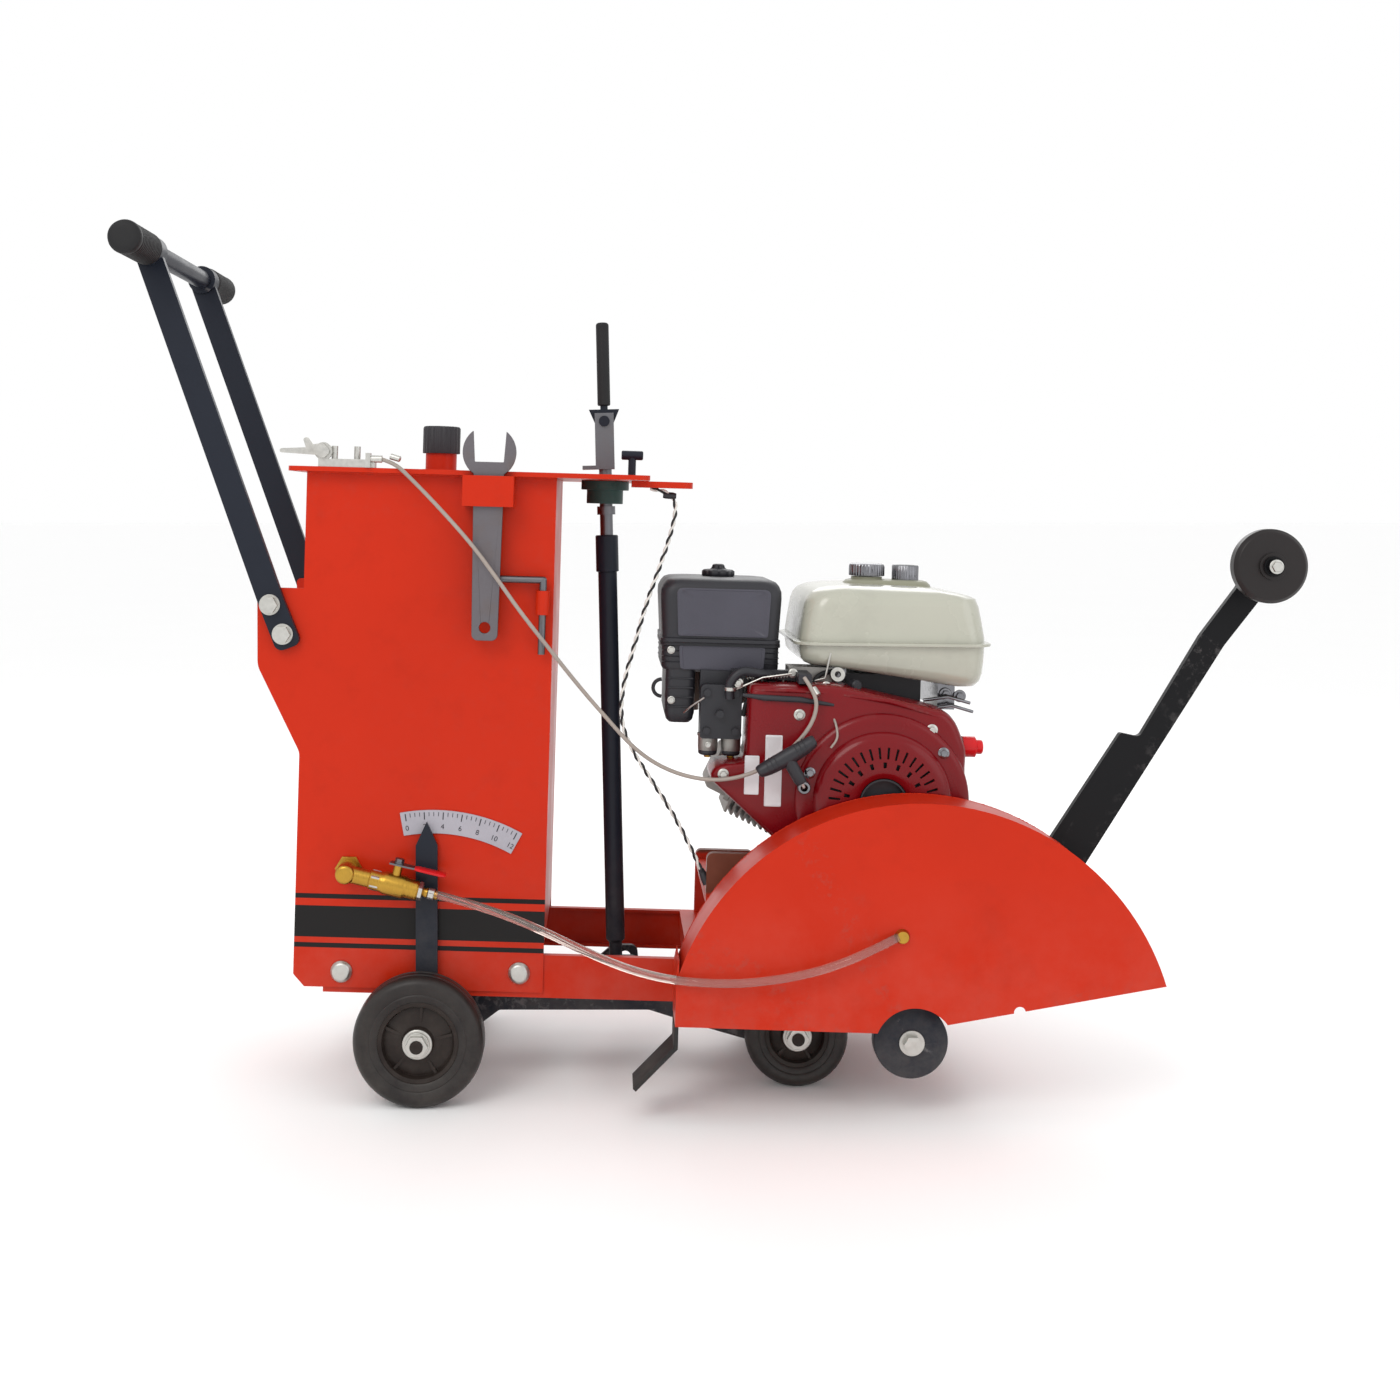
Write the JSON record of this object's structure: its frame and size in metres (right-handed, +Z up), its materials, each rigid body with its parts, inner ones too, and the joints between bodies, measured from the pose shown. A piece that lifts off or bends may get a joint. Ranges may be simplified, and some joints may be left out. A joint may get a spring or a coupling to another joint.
{
  "type": "walk-behind concrete saw",
  "caption": "Walk-behind concrete saw: orange water tank frame, petrol engine, blade guard, tilting wheeled carriage with crank depth screw, handle bar and folding front guide.",
  "frame": {"origin": "on the floor under the middle of the machine, at the bottom centre of its box without the cords", "axes": "+X forwards along the cut, +Y to the operator's left, +Z up; the blade side is -Y"},
  "size_m": [1.4248, 0.527, 1.0686],
  "materials": {
    "orange_paint": "gloss powder coat",
    "black_paint": "satin enamel",
    "red_enamel": "gloss enamel",
    "tank_enamel": "gloss enamel",
    "zinc": "zinc plated",
    "steel": "bare steel",
    "chrome": "bright",
    "brass": "as machined",
    "cast_alloy": "as cast",
    "black_plastic": "moulded",
    "grey_plastic": "moulded",
    "rubber": "matt",
    "tyre_rubber": "matt, dusty",
    "green_casting": "painted casting",
    "scale_plate": "satin plate",
    "clear_hose": "clear vinyl",
    "grey_cable": "sheathed",
    "wire_lead": "twisted insulated wire",
    "muffler_steel": "heat stained"
  },
  "bodies": {
    "main_frame": {"frame_rails": "orange_paint", "engine_bed": "orange_paint", "tank_housing": "orange_paint", "tank_top_plate": "orange_paint", "handle_frame": "black_paint", "handle_grips": "rubber", "frame_bolts": "zinc", "depth_scale": "scale_plate", "tool_holders": "orange_paint", "water_fittings": "brass", "blade_guard": "orange_paint", "splash_flap": "rubber", "arbor_bearings": "green_casting", "belt_guard": "orange_paint", "drive_belts": "rubber", "crankcase": "cast_alloy", "cylinder_head": "cast_alloy", "fan_cover": "red_enamel", "starter_housing": "red_enamel", "fuel_tank": "tank_enamel", "air_cleaner_base": "black_plastic", "air_cleaner_cover": "grey_plastic", "carburettor": "black_plastic", "muffler": "muffler_steel", "jack_bearing": "green_casting", "throttle_bracket": "zinc", "throttle_cable": "grey_cable", "stop_cable": "wire_lead", "water_hose": "clear_hose"},
    "carriage": {"carriage_frame": "black_paint", "depth_pointer": "black_paint", "axle_shafts": "zinc"},
    "rear_right_wheel": {"rear_right_tyre": "tyre_rubber", "rear_right_hub": "black_paint"},
    "rear_left_wheel": {"rear_left_tyre": "tyre_rubber", "rear_left_hub": "black_paint"},
    "front_right_wheel": {"front_right_tyre": "tyre_rubber", "front_right_hub": "black_paint"},
    "front_left_wheel": {"front_left_tyre": "tyre_rubber", "front_left_hub": "black_paint"},
    "depth_screw": {"jack_screw": "steel"},
    "crank": {"crank_handle": "black_paint", "crank_grip": "rubber"},
    "jack_sleeve": {"jack_tube": "black_paint"},
    "front_arm": {"pointer_arm": "black_paint"},
    "guide_roller": {"pointer_roller": "rubber"},
    "arbor": {"blade_shaft": "steel", "driven_pulley": "cast_alloy"},
    "clamp_flange": {"outer_flange": "black_paint", "arbor_bolt": "zinc"},
    "engine_shaft": {"crankshaft": "steel"},
    "recoil_grip": {"starter_grip": "black_plastic"},
    "throttle": {"throttle_lever": "zinc"},
    "valve": {"valve_handle": "steel"},
    "filler_cap": {"tank_cap": "black_plastic"},
    "petrol_cap": {"fuel_cap": "chrome"},
    "open_spanner": {"spanner": "steel"},
    "allen_key": {"hex_key": "steel"},
    "stop_switch": {"engine_switch": "red_enamel"},
    "tee_screw": {"lock_knob": "black_paint"}
  },
  "joints": [
    {"name": "depth_tilt", "type": "hinge", "parent": "main_frame", "child": "carriage", "pos_m": [-0.341, 0, 0.125], "axis": [0, 1, 0], "range_deg": [-3, 18]},
    {"name": "jack_slide", "type": "slide", "parent": "main_frame", "child": "jack_sleeve", "axis": [0.0216, 0, -0.9998], "range_m": [-0.02, 0.08]},
    {"name": "depth_screw_turn", "type": "hinge", "parent": "main_frame", "child": "depth_screw", "pos_m": [-0.12618, 0, 0.77984], "axis": [-0.0216, 0, 0.9998], "range_deg": [-760, 4400]},
    {"name": "crank_fold", "type": "hinge", "parent": "depth_screw", "child": "crank", "pos_m": [-0.12754, 0, 0.84283], "axis": [0, 1, 0], "range_deg": [0, 90]},
    {"name": "rear_right_spin", "type": "hinge", "parent": "carriage", "child": "rear_right_wheel", "pos_m": [-0.353, -0.174, 0.08], "axis": [0, 1, 0], "continuous": true},
    {"name": "rear_left_spin", "type": "hinge", "parent": "carriage", "child": "rear_left_wheel", "pos_m": [-0.353, 0.174, 0.08], "axis": [0, 1, 0], "continuous": true},
    {"name": "front_right_spin", "type": "hinge", "parent": "carriage", "child": "front_right_wheel", "pos_m": [0.115, -0.098, 0.065], "axis": [0, 1, 0], "continuous": true},
    {"name": "front_left_spin", "type": "hinge", "parent": "carriage", "child": "front_left_wheel", "pos_m": [0.115, 0.098, 0.065], "axis": [0, 1, 0], "continuous": true},
    {"name": "pointer_fold", "type": "hinge", "parent": "main_frame", "child": "front_arm", "pos_m": [0.33582, -0.16, 0.14511], "axis": [0, 1, 0], "range_deg": [0, 66]},
    {"name": "roller_spin", "type": "hinge", "parent": "front_arm", "child": "guide_roller", "pos_m": [0.6685, -0.216, 0.65902], "axis": [0, 1, 0], "continuous": true},
    {"name": "arbor_spin", "type": "hinge", "parent": "main_frame", "child": "arbor", "pos_m": [0.239, 0, 0.09199], "axis": [0, 1, 0], "continuous": true},
    {"name": "engine_spin", "type": "hinge", "parent": "main_frame", "child": "engine_shaft", "pos_m": [0.21499, 0, 0.36757], "axis": [0, 1, 0], "continuous": true},
    {"name": "flange_off", "type": "slide", "parent": "arbor", "child": "clamp_flange", "axis": [0, -1, 0], "range_m": [0, 0.06]},
    {"name": "starter_pull", "type": "slide", "parent": "main_frame", "child": "recoil_grip", "axis": [-0.5014, -0.6017, 0.6217], "range_m": [0, 0.5], "stiffness_N_per_m": 30, "springref_m": -0.1},
    {"name": "throttle_turn", "type": "hinge", "parent": "main_frame", "child": "throttle", "pos_m": [-0.47423, -0.152, 0.79898], "axis": [0, 1, 0], "range_deg": [0, 60]},
    {"name": "valve_turn", "type": "hinge", "parent": "main_frame", "child": "valve", "pos_m": [-0.38072, -0.162, 0.28505], "axis": [0.2351, 0, 0.972], "range_deg": [-90, 0]},
    {"name": "filler_cap_lift", "type": "slide", "parent": "main_frame", "child": "filler_cap", "axis": [0.0279, 0, 0.9996], "range_m": [0, 0.07]},
    {"name": "fuel_cap_lift", "type": "slide", "parent": "main_frame", "child": "petrol_cap", "axis": [0.0279, 0, 0.9996], "range_m": [0, 0.05]},
    {"name": "spanner_lift", "type": "slide", "parent": "main_frame", "child": "open_spanner", "axis": [0.0279, 0, 0.9996], "range_m": [0, 0.24]},
    {"name": "hex_key_lift", "type": "slide", "parent": "main_frame", "child": "allen_key", "axis": [0.0279, 0, 0.9996], "range_m": [0, 0.083]},
    {"name": "switch_turn", "type": "hinge", "parent": "main_frame", "child": "stop_switch", "pos_m": [0.33373, -0.112, 0.42828], "axis": [0.9996, 0, -0.0279], "range_deg": [0, 60]},
    {"name": "lock_screw_turn", "type": "hinge", "parent": "main_frame", "child": "tee_screw", "pos_m": [-0.09152, -0.06, 0.78329], "axis": [0.0279, 0, 0.9996], "range_deg": [0, 180]}
  ],
  "couplings": [
    {"joint": "jack_slide", "follows": "depth_tilt", "m_per_rad": 0.2255},
    {"joint": "depth_screw_turn", "follows": "depth_tilt", "ratio": 236.14},
    {"joint": "engine_spin", "follows": "arbor_spin", "ratio": 0.84444}
  ]
}
